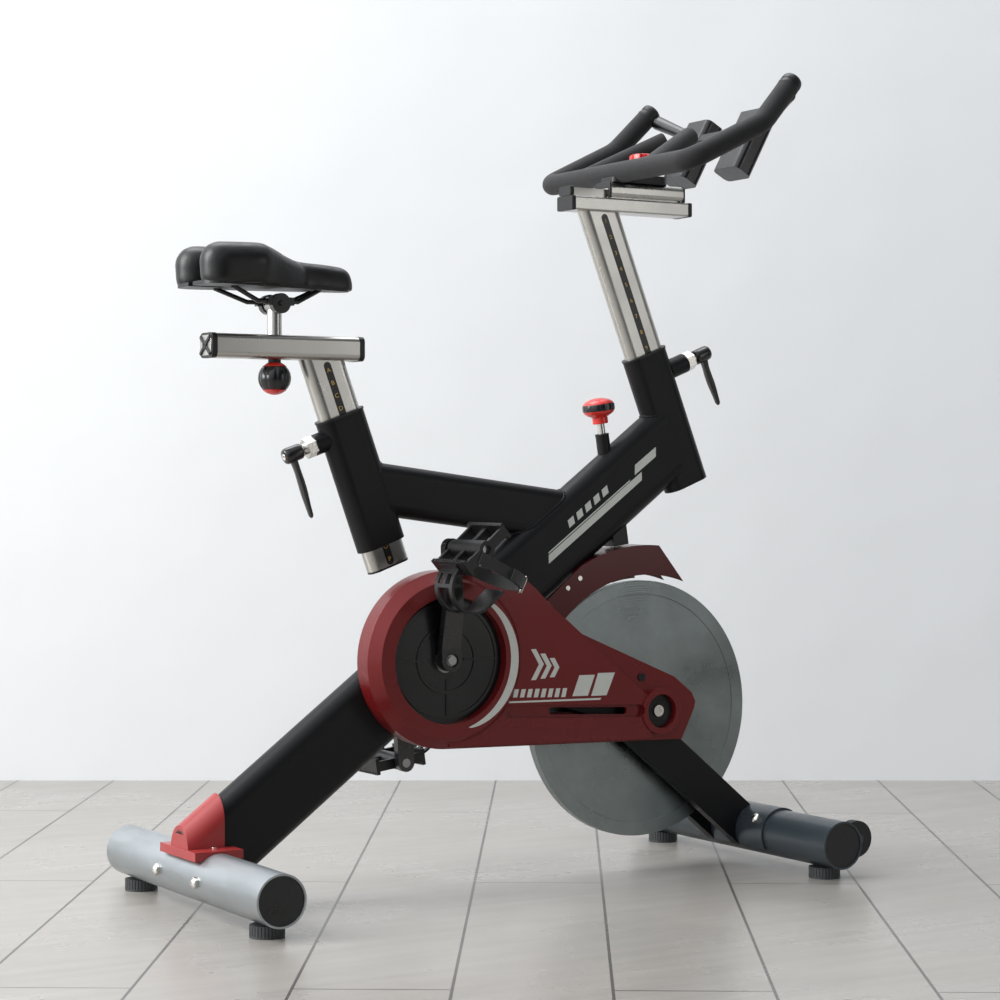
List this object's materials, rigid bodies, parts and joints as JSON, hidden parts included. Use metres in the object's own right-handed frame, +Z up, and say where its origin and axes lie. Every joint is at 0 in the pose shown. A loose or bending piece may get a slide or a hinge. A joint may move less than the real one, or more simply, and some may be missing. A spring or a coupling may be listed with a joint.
{
  "type": "indoor spin bike",
  "caption": "Free-standing indoor spin bike with a weighted flywheel, chain drive, pad brake, sliding saddle and handlebar posts, bottle cups and levelling feet.",
  "frame": {"origin": "on the floor, at the centre of the overall footprint", "axes": "+X forward towards the handlebar, +Y towards the rider's left, +Z up"},
  "size_m": [1.096, 0.544, 1.2806],
  "materials": {
    "frame_black": "satin black powder coat",
    "rear_bar_steel": "satin galvanised",
    "front_bar_paint": "satin dark blue-grey",
    "black_plastic": "fine moulded texture",
    "nickel": "bright nickel plate",
    "red_bracket": "satin red",
    "cover_red": "dark red metallic",
    "disc_black": "semi-gloss black",
    "drive_steel": "oiled steel",
    "bearing_steel": "ground steel",
    "crank_paint": "semi-gloss black",
    "pedal_black": "black nylon",
    "strap": "black webbing",
    "flywheel_steel": "galvanised, turned",
    "aluminium": "satin anodised",
    "saddle_vinyl": "soft black vinyl",
    "foam": "black foam",
    "knob_red": "gloss red",
    "knob_black": "semi-gloss black",
    "pad_felt": "wool felt",
    "wheel_rubber": "black",
    "foot_plastic": "grey-black"
  },
  "bodies": {
    "frame": {"main_beam": "frame_black", "top_tube": "frame_black", "seat_tube": "frame_black", "head_tube": "frame_black", "fork": "frame_black", "front_bar": "front_bar_paint", "front_band": "front_bar_paint", "rear_bar": "rear_bar_steel", "bar_end_caps": "black_plastic", "frame_bolts": "nickel", "rear_bracket": "red_bracket", "post_bushings": "black_plastic", "tube_bosses": "frame_black", "cover_outer": "cover_red", "cover_inner": "cover_red", "cover_disc": "disc_black", "fender": "cover_red", "brake_bracket": "black_plastic", "chain": "drive_steel", "bearings": "bearing_steel"},
    "crankset": {"crank_axle": "bearing_steel", "chainring": "drive_steel", "crank_right": "crank_paint", "crank_left": "crank_paint", "pedal_spindles": "bearing_steel"},
    "right_pedal": {"pedal_right": "pedal_black", "toe_cage_right": "pedal_black", "toe_strap_right": "strap"},
    "left_pedal": {"pedal_left": "pedal_black", "toe_cage_left": "pedal_black", "toe_strap_left": "strap"},
    "flywheel_set": {"flywheel": "flywheel_steel", "flywheel_axle": "bearing_steel", "sprocket": "drive_steel"},
    "seat_column": {"seat_post": "aluminium", "seat_rail": "aluminium", "seat_rail_caps": "black_plastic"},
    "saddle_slider": {"saddle_carriage": "aluminium"},
    "saddle_lock": {"seat_knob": "knob_black"},
    "saddle": {"saddle_clamp": "black_plastic", "saddle_rails": "crank_paint", "saddle_base": "black_plastic", "saddle_cushion": "saddle_vinyl"},
    "bar_column": {"bar_post": "aluminium", "bar_rail": "aluminium", "bar_rail_caps": "black_plastic"},
    "bar_slider": {"bar_sleeve": "aluminium", "handlebar": "foam", "bottle_cages": "black_plastic"},
    "bar_lock": {"bar_knob": "knob_red"},
    "seat_clamp": {"seat_lever": "black_plastic"},
    "bar_clamp": {"bar_lever": "black_plastic"},
    "brake": {"brake_rod": "nickel", "brake_pad": "pad_felt"},
    "brake_button": {"brake_knob": "knob_red"},
    "right_wheel": {"wheel_right": "wheel_rubber"},
    "left_wheel": {"wheel_left": "wheel_rubber"},
    "rear_right_foot": {"foot_rear_right": "foot_plastic"},
    "rear_left_foot": {"foot_rear_left": "foot_plastic"},
    "front_right_foot": {"foot_front_right": "foot_plastic"},
    "front_left_foot": {"foot_front_left": "foot_plastic"}
  },
  "joints": [
    {"name": "flywheel_spin", "type": "hinge", "parent": "frame", "child": "flywheel_set", "pos_m": [0.268, 0, 0.262], "axis": [0, 1, 0], "continuous": true},
    {"name": "crank_spin", "type": "hinge", "parent": "frame", "child": "crankset", "pos_m": [-0.122, 0, 0.3585], "axis": [0, 1, 0], "continuous": true},
    {"name": "right_pedal_spin", "type": "hinge", "parent": "crankset", "child": "right_pedal", "pos_m": [-0.1289, -0.146, 0.53036], "axis": [0, 1, 0], "continuous": true},
    {"name": "left_pedal_spin", "type": "hinge", "parent": "crankset", "child": "left_pedal", "pos_m": [-0.1151, 0.146, 0.18664], "axis": [0, 1, 0], "continuous": true},
    {"name": "seat_post_slide", "type": "slide", "parent": "frame", "child": "seat_column", "axis": [-0.342, 0, 0.9397], "range_m": [-0.05, 0.12]},
    {"name": "saddle_slide", "type": "slide", "parent": "seat_column", "child": "saddle_slider", "axis": [1, 0, 0], "range_m": [-0.035, 0.02]},
    {"name": "saddle_tilt", "type": "hinge", "parent": "saddle_slider", "child": "saddle", "pos_m": [-0.382, 0, 0.894], "axis": [0, 1, 0], "range_deg": [-12, 12]},
    {"name": "saddle_knob_turn", "type": "hinge", "parent": "saddle_slider", "child": "saddle_lock", "pos_m": [-0.382, 0, 0.784], "axis": [0, 0, 1], "range_deg": [0, 360]},
    {"name": "seat_lever_turn", "type": "hinge", "parent": "frame", "child": "seat_clamp", "pos_m": [-0.26456, 0, 0.70314], "axis": [-0.9397, 0, -0.342], "range_deg": [-90, 90]},
    {"name": "bar_post_slide", "type": "slide", "parent": "frame", "child": "bar_column", "axis": [-0.3665, 0, 0.9304], "range_m": [-0.15, 0.05]},
    {"name": "bar_slide", "type": "slide", "parent": "bar_column", "child": "bar_slider", "axis": [1, 0, 0], "range_m": [-0.06, 0.015]},
    {"name": "bar_knob_turn", "type": "hinge", "parent": "bar_slider", "child": "bar_lock", "pos_m": [0.279, 0, 1.14], "axis": [0, 0, 1], "range_deg": [0, 360]},
    {"name": "bar_lever_turn", "type": "hinge", "parent": "frame", "child": "bar_clamp", "pos_m": [0.29596, 0, 0.79849], "axis": [0.9304, 0, 0.3665], "range_deg": [-90, 90]},
    {"name": "brake_press", "type": "slide", "parent": "frame", "child": "brake", "axis": [0.1513, 0, -0.9885], "range_m": [0, 0.004], "stiffness_N_per_m": 3000, "springref_m": -0.004},
    {"name": "brake_knob_turn", "type": "hinge", "parent": "brake", "child": "brake_button", "pos_m": [0.19691, 0, 0.72659], "axis": [-0.1513, 0, 0.9885], "range_deg": [-360, 360]},
    {"name": "right_wheel_spin", "type": "hinge", "parent": "frame", "child": "right_wheel", "pos_m": [0.519, -0.246, 0.061], "axis": [0, 1, 0], "continuous": true},
    {"name": "left_wheel_spin", "type": "hinge", "parent": "frame", "child": "left_wheel", "pos_m": [0.519, 0.246, 0.061], "axis": [0, 1, 0], "continuous": true},
    {"name": "rear_right_foot_screw", "type": "slide", "parent": "frame", "child": "rear_right_foot", "axis": [0, 0, -1], "range_m": [0, 0.01]},
    {"name": "rear_left_foot_screw", "type": "slide", "parent": "frame", "child": "rear_left_foot", "axis": [0, 0, -1], "range_m": [0, 0.01]},
    {"name": "front_right_foot_screw", "type": "slide", "parent": "frame", "child": "front_right_foot", "axis": [0, 0, -1], "range_m": [0, 0.01]},
    {"name": "front_left_foot_screw", "type": "slide", "parent": "frame", "child": "front_left_foot", "axis": [0, 0, -1], "range_m": [0, 0.01]}
  ],
  "couplings": [
    {"joint": "crank_spin", "follows": "flywheel_spin", "ratio": 0.3913}
  ]
}
